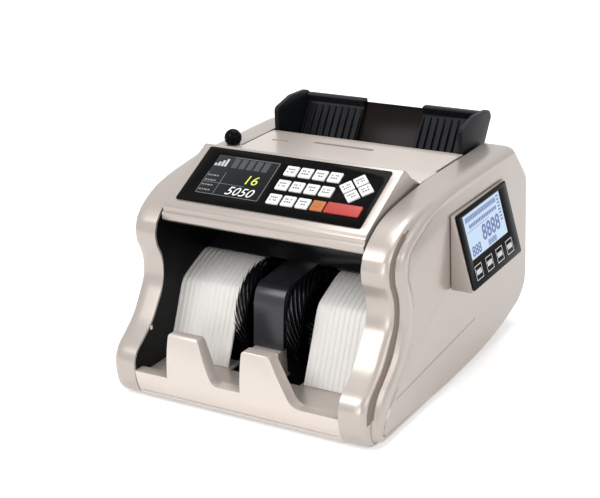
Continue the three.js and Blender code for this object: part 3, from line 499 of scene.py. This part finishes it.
def side_cover(side, name, node):
    obj = settle(lofted(name, cover_rings(side)), MACHINE)
    wall = obj.modifiers.new("Wall", "SOLIDIFY")
    wall.thickness = sizes().cover_wall
    wall.offset = -1
    wall.use_even_offset = False
    pick(obj)
    bpy.ops.object.modifier_apply(modifier=wall.name)
    smooth(obj, 42)
    finish_piece(obj, name, shell(), replaces=(node,))
    # The joint between side and skirt is real, but its dark line is painted shade: a thin sheet in the shadow
    # colour where the recess falls into shadow.
    length = math.dist(*SEAM)
    place = (MACHINE @ Matrix.Translation(Vector((side * CASE["flat"], *SEAM[0])) * MM)
             @ Matrix.Rotation(math.atan2(SEAM[1][1] - SEAM[0][1], SEAM[1][0] - SEAM[0][0]), 4, "X"))
    line = blocks(name + "_seam", [(-0.05, 0.05, 0, length, -0.35, 0.35)], place)
    finish_piece(line, name + "_seam", painted_recess_shade())
    # Painted shade: the faces at the bottom of the groove take the darker shadow colour as a second slot.
    obj.data.materials.append(painted_recess_shade())
    low, high = ORIGIN.z + GROOVE["low"] * MM, ORIGIN.z + GROOVE["high"] * MM
    for face in obj.data.polygons:
        across = abs(face.center.x - ORIGIN.x) / MM
        if GROOVE["from"] < across < GROOVE["to"] and low < face.center.z < high \
                and face.center.y < ORIGIN.y + GROOVE["back"] * MM and side * face.normal.x > 0.55:
            face.material_index = 1
    return obj


# ------------------------------------------------------------------ operators
class OBJECT_OT_counter_side_covers(bpy.types.Operator):
    """Two moulded side covers with a turned-in front, a groove and a bead"""
    bl_idname = "object.counter_side_covers"
    bl_label = "Side covers"

    def execute(self, context):
        side_cover(1, "side_cover_right", "right_side_cover")
        side_cover(-1, "side_cover_left", "left_side_cover")
        return {"FINISHED"}


class OBJECT_OT_counter_front_tray(bpy.types.Operator):
    """Front tray with its two teeth and the post between the wheels"""
    bl_idname = "object.counter_front_tray"
    bl_label = "Front tray"

    def execute(self, context):
        tray = refined("front_tray", sizes().edge, 3, 40)
        # The tray takes the lit copy of the shell lacquer, which is painted light.
        finish_piece(tray, "tray_moulding", lit_shell_copy(), replaces=("front_tray",))
        return {"FINISHED"}


class OBJECT_OT_counter_control_pod(bpy.types.Operator):
    """Control pod and the gloss overlay on its slope"""
    bl_idname = "object.counter_control_pod"
    bl_label = "Control pod"

    def execute(self, context):
        pod = refined("control_pod", sizes().edge * 0.8, 3, 25)
        finish_piece(pod, "pod_moulding", shell(), replaces=("control_pod",))
        overlay = refined("panel_overlay", 0.00025, 2, 40)
        finish_piece(overlay, "overlay_sheet", gloss_black(), replaces=("panel_overlay",))
        return {"FINISHED"}


ROWS = ("lower", "middle", "upper")
KEY_BUMP = 1.3
LEGEND = {"width": 7.6, "first": 1.7, "pitch": 3.3, "fill": 0.7, "short": 0.6, "skin": 0.06}


def key_legend(name, body, lines, turn, centre, ink):
    """Rows of short dashes on a key's top, in the key's own frame."""
    boxes = []
    for line, pattern in enumerate(lines):
        y = LEGEND["first"] - line * LEGEND["pitch"]
        x = -LEGEND["width"] / 2
        step = LEGEND["width"] / len(pattern)
        for mark in pattern:
            if mark != " ":
                tall = sizes().legend / MM * (1.0 if mark == "1" else LEGEND["short"])
                boxes.append((x, x + step * LEGEND["fill"], y - tall / 2, y + tall / 2,
                              KEY_BUMP, KEY_BUMP + LEGEND["skin"]))
            x += step
    place = PANEL @ Matrix.Translation(Vector((centre[0], centre[1], 0)) * MM) @ Matrix.Rotation(turn, 4, "Z")
    obj = blocks(name, boxes, place)
    return finish_piece(obj, name, ink, body)


def panel_centre(node):
    """Middle of a key on the panel, in the panel's own millimetres."""
    low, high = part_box(node)
    local = PANEL.inverted() @ ((low + high) / 2)
    return local.x / MM, local.y / MM


LEGENDS = (("1111", "1 11"), ("11 1", "111"), ("1111", " 11"), ("1 11", "1111"))


class OBJECT_OT_counter_keypad(bpy.types.Operator):
    """Twelve keys and four arrow keys, each with its marks, and the start key"""
    bl_idname = "object.counter_keypad"
    bl_label = "Keypad"

    def execute(self, context):
        orange = grained("Orange key", (0.44, 0.13, 0.025, 1), 0.0, (0.35, 0.42), 900, 0.03, 0.05)
        red = grained("Red key", tuple(colours().start), 0.0, (0.35, 0.42), 900, 0.03, 0.05)
        names = [f"key_{row}_{i}" for row in ROWS for i in (1, 2, 3, 4)]
        arrows = ["key_arrow_" + way for way in ("up", "right", "down", "left")]
        for index, node in enumerate(names + arrows + ["key_start"]):
            cap = refined(node, 0.0006, 3, 50)
            material, slot, ink = key_white(), "key_white", legend_ink()
            if node == "key_lower_4":
                material, slot = orange, "key_orange"
                ink = grained("Orange ink", (0.32, 0.09, 0.02, 1))
            if node == "key_start":
                material, slot = red, "key_red"
            finish_piece(cap, node + "_cap", material, node, (node,))
            centre = panel_centre(node)
            turn = math.radians(45) if node in arrows else 0
            if node != "key_start":
                key_legend(node + "_marks", node, LEGENDS[index % 4], turn, centre, ink)
        return {"FINISHED"}


class OBJECT_OT_counter_display(bpy.types.Operator):
    """Colour display with plain generic content"""
    bl_idname = "object.counter_display"
    bl_label = "Display"

    def execute(self, context):
        glass = refined("display_module", 0.0003, 2, 40)
        dark = grained("Display glass", (0.006, 0.0065, 0.008), 0.0, (0.06, 0.1), 300, 0.0, 0.2, 0.0, 0.15)
        finish_piece(glass, "display_glass", dark, replaces=("display_module",))
        z0, z1 = -0.28, -0.18
        rim = 0.35
        left, right, low, high = -81.5, -14.5, 11.6, 61.0
        lines = [(left, right, low, low + rim, z0, z1), (left, left + rim, low, 39, z0, z1),
                 (right - rim, right, low, high - 1, z0, z1), (left + 18, right, high - 1 - rim, high - 1, z0, z1),
                 (left, left + 46, 26, 26 + rim * 0.8, z0, z1), (left + 18.5, left + 18.5 + rim, low, 40, z0, z1)]
        grey = glowing("Display lines", (0.35, 0.37, 0.40), 0.5)
        finish_piece(blocks("display_lines", lines, PANEL), "display_lines", grey)
        bars = [(-62 + i * 8.2, -56 + i * 8.2, 46.5, 58.5, z0, z1) for i in range(5)]
        slate = glowing("Display tiles", (0.035, 0.04, 0.048), 0.8)
        finish_piece(blocks("display_tiles", bars, PANEL), "display_tiles", slate)
        stripes = [(-80.5 + i * 3.5, -78 + i * 3.5, 47, 50 + 2.2 * i, z0, z1) for i in range(4)]
        pale = glowing("Display chart", (0.55, 0.62, 0.66), 0.75)
        finish_piece(blocks("display_chart", stripes, PANEL), "display_chart", pale)
        rows = []
        for line in range(4):
            x = -80
            for dash in (2.4, 1.6, 3.0, 2.0):
                rows.append((x, x + dash, 15.6 + line * 6.1, 17.0 + line * 6.1, z0, z1))
                x += dash + 0.9
        finish_piece(blocks("display_rows", rows, PANEL), "display_rows", grey)
        yellow = glowing("Yellow figures", (0.72, 0.78, 0.10), 0.95)
        finish_piece(lettered("display_count", "16", 15.5, -40.5, 29.5, z0, PANEL, 0.05, 0.1),
                     "display_count", yellow)
        white = glowing("White figures", (0.85, 0.87, 0.88), 0.9)
        finish_piece(lettered("display_sum", "5050", 14.5, -52, 14.2, z0, PANEL, 0.05, 0.25),
                     "display_sum", white)
        return {"FINISHED"}


class OBJECT_OT_counter_top_flap(bpy.types.Operator):
    """Hinged flap in front of the hopper, with the painted shade along its embossed groove"""
    bl_idname = "object.counter_top_flap"
    bl_label = "Top flap"

    def execute(self, context):
        flap = refined("top_flap", 0.0006, 3, 40)
        # The flap shares the lit copy of the shell lacquer, which is painted light.
        finish_piece(flap, "flap_moulding", lit_shell_copy(), "top_flap", ("top_flap",))
        # Thin raised bars along the flap's embossed groove. They are coloured with painted shade for the groove's
        # shadow line.
        high = 190.6
        bar = [(-44, 22, 216.5, 218.3, high - 0.6, high + 0.35), (-44, 22, 219.6, 220.6, high - 0.6, high + 0.2),
               (-88, -69, 210.5, 212.0, high - 0.6, high + 0.3)]
        finish_piece(blocks("flap_groove_shade", bar, MACHINE, 0.15), "flap_groove_shade", painted_recess_shade(), "top_flap")
        return {"FINISHED"}


class OBJECT_OT_counter_hopper(bpy.types.Operator):
    """Sliding note guides and the ribbed back of the hopper"""
    bl_idname = "object.counter_hopper"
    bl_label = "Hopper"

    def execute(self, context):
        for side in ("left", "right"):
            node = "hopper_guide_" + side
            guide = refined(node, 0.0005, 2, 40)
            finish_piece(guide, f"guide_{side}_moulding", charcoal(), node, (node,))
        back = refined("hopper_back", 0.0005, 2, 40)
        finish_piece(back, "hopper_back_moulding", throat_black(), replaces=("hopper_back",))
        return {"FINISHED"}


RAMP = ((44.0, 22.4), (57.5, 52), (68, 76), (71.5, 83.6), (74.5, 88.2), (79, 91.8), (92, 97.8), (108, 104.4),
        (117.8, 106.6))
RIBS = {"from": 42.0, "to": 105.4, "count": 13, "rise": 0.42}


def shifted(line, distance):
    """The line moved sideways by a distance, square to itself."""
    moved = []
    for i, point in enumerate(line):
        a, b = line[max(i - 1, 0)], line[min(i + 1, len(line) - 1)]
        run_y, run_z = b[0] - a[0], b[1] - a[1]
        length = math.hypot(run_y, run_z)
        moved.append((point[0] - run_z / length * distance, point[1] + run_y / length * distance))
    return moved


def drawn(name, points, x0, x1, twist=0.0):
    """A flat outline of (y, z) points drawn edge by edge at x0, filled and pulled out to x1, with a twist."""
    deselect()
    corners = [Vector((x0, y, z)) * MM for y, z in points]
    bpy.ops.mesh.primitive_plane_add(size=0.001, location=corners[0])
    obj = bpy.context.object
    obj.name = name
    bpy.ops.object.transform_apply(location=True, rotation=True, scale=True)
    bpy.ops.object.mode_set(mode="EDIT")
    bpy.ops.mesh.select_all(action="SELECT")
    bpy.ops.mesh.merge(type="CENTER")
    for a, b in zip(corners, corners[1:]):
        bpy.ops.mesh.extrude_region_move(TRANSFORM_OT_translate={"value": b - a})
    bpy.ops.mesh.select_all(action="SELECT")
    bpy.ops.mesh.edge_face_add()
    turns = 5 if twist else 1
    for _ in range(turns):
        bpy.ops.mesh.extrude_region_move(TRANSFORM_OT_translate={"value": ((x1 - x0) * MM / turns, 0, 0)})
        if twist:
            bpy.ops.transform.rotate(value=twist / turns, orient_axis="X", center_override=(0, 0, 0))
    bpy.ops.mesh.select_all(action="SELECT")
    bpy.ops.mesh.normals_make_consistent(inside=False)
    done()
    return obj


def copied(obj, place):
    """A copy with its own mesh, moved to another place."""
    twin = obj.copy()
    twin.data = obj.data.copy()
    bpy.context.scene.collection.objects.link(twin)
    return settle(twin, place)


def ribbed_plate(side):
    line = spline(RAMP, 3) + [RAMP[-1]]
    low, high = sorted((side * 41.2, side * 107.3))
    parts = [drawn("plate", line + shifted(line, -2.2)[::-1], low, high)]
    step = (RIBS["to"] - RIBS["from"]) / (RIBS["count"] - 1)
    wide = sizes().rib / MM
    rib_line = shifted(line, RIBS["rise"])[:-1] + shifted(line, -0.5)[:-1][::-1]
    first = drawn("rib", rib_line, 0, wide)
    for i in range(RIBS["count"]):
        x = RIBS["from"] + i * step
        x = x if side > 0 else -x - wide
        parts.append(copied(first, Matrix.Translation(Vector((x, 0, 0)) * MM)))
    bpy.data.objects.remove(first)
    plate = settle(joined(parts, "plate"), MACHINE)
    return smooth(apply_bevel(plate, 0.0003, 2, 40), 40)


WHEEL = {"y": 95.0, "z": 66.0, "radius": 45.8, "hub": 13.0, "width": 13.6, "offset": 28.0, "blades": 26,
         "sweep": 1.5, "thick": 0.9, "twist": -0.75}


def vaned_wheel(side):
    """Hub with long swept blades, the middle of its axle at the stacking shaft."""
    steps = 12
    outer, inner_side = [], []
    for i in range(steps + 1):
        t = i / steps
        radius = WHEEL["hub"] - 2 + t * (WHEEL["radius"] - WHEEL["hub"] + 2)
        angle = -WHEEL["sweep"] * t ** 2.2
        slip = WHEEL["thick"] * (1.15 - 0.5 * t) / 2 / radius
        outer.append((radius * math.cos(angle + slip), radius * math.sin(angle + slip)))
        inner_side.append((radius * math.cos(angle - slip), radius * math.sin(angle - slip)))
    blade = drawn("blade", outer + inner_side[::-1], -WHEEL["width"] / 2, WHEEL["width"] / 2, WHEEL["twist"])
    parts = []
    for i in range(WHEEL["blades"]):
        parts.append(copied(blade, Matrix.Rotation(math.tau * i / WHEEL["blades"], 4, "X")))
    bpy.data.objects.remove(blade)
    deselect()
    bpy.ops.mesh.primitive_cylinder_add(vertices=40, radius=WHEEL["hub"] * MM, depth=WHEEL["width"] * MM,
                                        rotation=(0, math.pi / 2, 0))
    hub = bpy.context.object
    bpy.ops.object.transform_apply(location=True, rotation=True, scale=True)
    edit(hub)
    bpy.ops.mesh.bevel(offset=0.0008, segments=2, affect="EDGES")
    done()
    wheel = joined(parts + [hub], "wheel")
    place = MACHINE @ Matrix.Translation(Vector((side * WHEEL["offset"], WHEEL["y"], WHEEL["z"])) * MM)
    return smooth(settle(wheel, place), 40)


class OBJECT_OT_counter_stacker(bpy.types.Operator):
    """Ribbed ivory plates, the black nose and the vaned wheels"""
    bl_idname = "object.counter_stacker"
    bl_label = "Stacker"

    def execute(self, context):
        for side, word in ((-1, "left"), (1, "right")):
            finish_piece(ribbed_plate(side), f"plate_{word}_ribbed", ivory(),
                         replaces=("stacker_plate_" + word,))
            finish_piece(vaned_wheel(side), f"wheel_{word}_vanes", wheel_black(),
                         "stacking", ("stacking_wheel_" + word,))
        smoke = grained("Nose moulding", (0.020, 0.020, 0.025), 0.0, (0.2, 0.28), 1500, 0.04, 0.15, 0.0, 0.5)
        finish_piece(refined("chute_nose", 0.0016, 4, 40), "nose_moulding", smoke,
                     replaces=("chute_nose",))
        sensor = blocks("sensor_mark", [(-107.75, -107.2, 18.5, 21.5, 58, 62)], MACHINE, 0.2)
        finish_piece(sensor, "sensor_mark", key_white())
        return {"FINISHED"}


class OBJECT_OT_counter_knob(bpy.types.Operator):
    """Polished knob that sets the feed gap"""
    bl_idname = "object.counter_knob"
    bl_label = "Feed gap knob"

    def execute(self, context):
        knob = refined("feed_gap_knob", 0.0008, 4, 30)
        finish_piece(knob, "knob_polished", gloss_black(), "feed_gap_knob", ("feed_gap_knob",))
        return {"FINISHED"}


SIDE = {"tilt": 14.2, "yaw": -1.3, "front": 144.6, "high": 165.4, "proud": 5.0, "keys": (18.2, 42.2, 65.5, 88.5),
        "outline": 0.55, "panel_skin": 0.02, "screen_skin": -0.2}


def side_face():
    """The side display's own frame: x along its top edge, y up, z out of its glass."""
    place = Matrix.Translation(Vector((CASE["half"] + SIDE["proud"], SIDE["front"], SIDE["high"])) * MM)
    turn = (Matrix.Rotation(math.radians(90 - SIDE["yaw"]), 4, "Z")
            @ Matrix.Rotation(math.radians(90 - SIDE["tilt"]), 4, "X"))
    return MACHINE @ place @ turn


class OBJECT_OT_counter_side_display(bpy.types.Operator):
    """Side display in its sloping housing"""
    bl_idname = "object.counter_side_display"
    bl_label = "Side display"

    def execute(self, context):
        finish_piece(refined("side_display_bezel", 0.0012, 3, 20), "display_housing", shell(),
                     replaces=("side_display_bezel",))
        finish_piece(refined("side_display_panel", 0.0004, 2, 40), "side_glass", gloss_black(),
                     replaces=("side_display_panel",))
        lcd = glowing("Pale liquid crystal", (0.55, 0.72, 0.93), 0.62)
        finish_piece(refined("side_display_screen", 0.0002, 1, 40), "side_screen", lcd,
                     replaces=("side_display_screen",))
        face = side_face()
        ink = glowing("Blue segments", (0.03, 0.10, 0.42), 0.5)
        high = SIDE["screen_skin"]
        marks = []
        for row, (y, tall, step, space) in enumerate(((-9.5, 4.6, 2.7, 0.9), (-16.5, 3.4, 3.6, 1.1))):
            x = 15.0 if row == 0 else 20.0
            while x < 82 - row * 4:
                marks.append((x, x + step - space, y - tall / 2, y + tall / 2, high, high + 0.08))
                x += step
        marks += [(14, 62, -20.6, -20.2, high, high + 0.08)]
        marks += [(84, 89, -8.5 - 3.2 * i, -7 - 3.2 * i, high, high + 0.08) for i in range(8)]
        finish_piece(blocks("side_rows", marks, face), "side_rows", ink)
        for name, words, size, x, y in (("side_count", "8888", 20.0, 41, -36.5),
                                        ("side_batch", "888", 13, 14.5, -43.5),
                                        ("side_sum", "88888", 7.5, 49, -44)):
            figures = lettered(name, words, size, x, y, high, face, 0.04, 0.08, size * 0.022)
            finish_piece(figures, name, ink)
        white = glowing("Touch key outline", (0.80, 0.82, 0.84), 0.6)
        line, skin = SIDE["outline"], SIDE["panel_skin"]
        frames = []
        for centre in SIDE["keys"]:
            x0, x1, y0, y1 = centre - 7.2, centre + 7.2, -65.0, -51.6
            frames += [(x0, x1, y0, y0 + line, skin, skin + 0.06), (x0, x1, y1 - line, y1, skin, skin + 0.06),
                       (x0, x0 + line, y0, y1, skin, skin + 0.06), (x1 - line, x1, y0, y1, skin, skin + 0.06)]
            frames += [(x0 + 2.2 + i * 2.7, x0 + 4.2 + i * 2.7, -60.4, -55.8, skin, skin + 0.06) for i in range(4)]
        finish_piece(blocks("side_keys", frames, face), "side_keys", white)
        return {"FINISHED"}


def frame_finishes():
    """Finishes of the frame nodes that stay as they are."""
    steel = brushed("Brushed steel", (0.45, 0.46, 0.48))
    zinc = grained("Black powder coat", (0.012, 0.012, 0.013), 0.2, (0.45, 0.6), 1500, 0.2, 0.2)
    board = grained("Solder mask", (0.012, 0.09, 0.03), 0.0, (0.25, 0.4), 500, 0.15, 0.3)
    return {
        "side_frame_left": matt_black(), "side_frame_right": matt_black(), "base_pan": zinc,
        "foot_front_left": rubber(), "foot_front_right": rubber(), "foot_rear_left": rubber(),
        "foot_rear_right": rubber(), "rear_cover": matt_black(), "power_inlet": gloss_black(),
        "power_switch": gloss_black(), "pod_base": matt_black(), "guide_pinion": ivory(),
        "stacking_shaft": steel, "transport_shaft": steel, "feed_shaft": steel, "transport_drum": rubber(),
        "feed_roller_left": rubber(), "feed_roller_right": rubber(), "main_motor": steel,
        "motor_pulley": steel, "stacking_pulley": matt_black(), "drive_belt": rubber(), "main_board": board,
        "power_supply": brushed("Zinc plate", (0.35, 0.36, 0.37), (0.35, 0.5)),
    }


class OBJECT_OT_counter_frame(bpy.types.Operator):
    """Finishes for the frame, drive, feet and rear"""
    bl_idname = "object.counter_frame"
    bl_label = "Frame and drive"

    def execute(self, context):
        for node, material in frame_finishes().items():
            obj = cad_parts[node]
            if not obj.material_slots:
                obj.data.materials.append(None)
            for slot in obj.material_slots:
                slot.material = material
        return {"FINISHED"}


# ------------------------------------------------------------------ stage
VIEW = {"place": (0.68198, -1.13856, 0.61915), "yaw": 32.285, "pitch": 20.851, "roll": -2.716, "lens": 90}


LAMPS = (
    ("key_lamp", (-0.7, -1.5, 1.7), (1.2, 1.2), 22),
    ("side_lamp", (2.0, -0.6, 1.1), (0.8, 1.4), 8),
    ("top_lamp", (0.1, 0.4, 2.0), (1.4, 1.0), 20),
    ("front_lamp", (0.35, -1.9, 0.45), (1.0, 0.7), 7),
)
BACKDROP = {"floor": 30, "lift": 0.42, "ambient": 0.5, "seen": 1.0}


def add_camera():
    yaw, pitch, roll = (math.radians(VIEW[k]) for k in ("yaw", "pitch", "roll"))
    forward = Vector((-math.sin(yaw) * math.cos(pitch), math.cos(yaw) * math.cos(pitch), -math.sin(pitch)))
    right = Vector((math.cos(yaw), math.sin(yaw), 0))
    up = right.cross(forward)
    across = right * math.cos(roll) + up * math.sin(roll)
    upright = up * math.cos(roll) - right * math.sin(roll)
    deselect()
    bpy.ops.object.camera_add()
    camera = bpy.context.object
    turn = Matrix((across, upright, -forward)).transposed().to_4x4()
    camera.matrix_world = Matrix.Translation(Vector(VIEW["place"])) @ turn
    camera.data.lens = VIEW["lens"]
    camera.data.sensor_width = 36
    camera.data.clip_start = 0.05
    camera.data.clip_end = 30
    bpy.context.scene.camera = camera


def add_lamp(name, place, size, power):
    deselect()
    bpy.ops.object.light_add(type="AREA", location=place)
    lamp = bpy.context.object
    lamp.name = name
    lamp.data.shape = "RECTANGLE"
    lamp.data.size, lamp.data.size_y = size
    lamp.data.energy = power
    aim = Vector((0, 0, 0.1)) - Vector(place)
    lamp.rotation_euler = aim.to_track_quat("-Z", "Y").to_euler()


def seen_ray(tree):
    """1 for rays from the camera and for mirrored or passed rays, 0 for others."""
    ray = tree.nodes.new("ShaderNodeLightPath")
    value = ray.outputs["Is Camera Ray"]
    for kind in ("Is Glossy Ray", "Is Transmission Ray"):
        larger = tree.nodes.new("ShaderNodeMath")
        larger.operation = "MAXIMUM"
        tree.links.new(value, larger.inputs[0])
        tree.links.new(ray.outputs[kind], larger.inputs[1])
        value = larger.outputs[0]
    return value


def backdrop_material():
    material = bpy.data.materials.new("Pale backdrop")
    material.use_nodes = True
    tree = material.node_tree
    shader = tree.nodes["Principled BSDF"]
    shader.inputs["Base Color"].default_value = (0.9, 0.9, 0.9, 1)
    shader.inputs["Roughness"].default_value = 0.9
    shader.inputs["Emission Color"].default_value = (1, 1, 1, 1)
    lift = tree.nodes.new("ShaderNodeMath")
    lift.operation = "MULTIPLY"
    lift.inputs[1].default_value = BACKDROP["lift"]
    tree.links.new(seen_ray(tree), lift.inputs[0])
    tree.links.new(lift.outputs[0], shader.inputs["Emission Strength"])
    return material


class OBJECT_OT_counter_stage(bpy.types.Operator):
    """Pale floor, soft studio lamps and the camera"""
    bl_idname = "object.counter_stage"
    bl_label = "Stage"

    def execute(self, context):
        deselect()
        bpy.ops.mesh.primitive_plane_add(size=BACKDROP["floor"])
        floor = context.object
        floor.name = "stage_floor"
        floor.data.materials.append(backdrop_material())
        scene = context.scene
        world = bpy.data.worlds.new("Studio")
        scene.world = world
        world.use_nodes = True
        tree = world.node_tree
        back = tree.nodes["Background"]
        mix = tree.nodes.new("ShaderNodeMapRange")
        mix.inputs["To Min"].default_value = BACKDROP["ambient"]
        mix.inputs["To Max"].default_value = BACKDROP["seen"]
        tree.links.new(seen_ray(tree), mix.inputs["Value"])
        tree.links.new(mix.outputs["Result"], back.inputs["Strength"])
        back.inputs["Color"].default_value = (1, 1, 1, 1)
        for lamp in LAMPS:
            add_lamp(*lamp)
        add_camera()
        scene.view_settings.view_transform = "Standard"
        return {"FINISHED"}


STEPS = (
    OBJECT_OT_counter_stage, OBJECT_OT_counter_side_covers, OBJECT_OT_counter_front_tray,
    OBJECT_OT_counter_control_pod, OBJECT_OT_counter_keypad, OBJECT_OT_counter_display,
    OBJECT_OT_counter_top_flap, OBJECT_OT_counter_hopper, OBJECT_OT_counter_stacker,
    OBJECT_OT_counter_knob, OBJECT_OT_counter_side_display, OBJECT_OT_counter_frame,
)


class VIEW3D_PT_counter(bpy.types.Panel):
    bl_idname = "VIEW3D_PT_counter"
    bl_label = "Counting machine"
    bl_space_type = "VIEW_3D"
    bl_region_type = "UI"
    bl_category = "Counter"

    def draw(self, context):
        layout = self.layout
        for group in (context.scene.counter_sizes, context.scene.counter_colours):
            for name in group.bl_rna.properties.keys():
                if name not in ("rna_type", "name"):
                    layout.prop(group, name)
        for step in STEPS:
            layout.operator(step.bl_idname)


CLASSES = (CounterSizes, CounterColours) + STEPS + (VIEW3D_PT_counter,)


def register():
    for item in CLASSES:
        bpy.utils.register_class(item)
    bpy.types.Scene.counter_sizes = PointerProperty(type=CounterSizes)
    bpy.types.Scene.counter_colours = PointerProperty(type=CounterColours)


def unregister():
    del bpy.types.Scene.counter_colours
    del bpy.types.Scene.counter_sizes
    for item in reversed(CLASSES):
        bpy.utils.unregister_class(item)


def main():
    register()
    for step in STEPS:
        area, action = step.bl_idname.split(".")
        getattr(getattr(bpy.ops, area), action)()
    deselect()


if __name__ == "__main__":
    main()
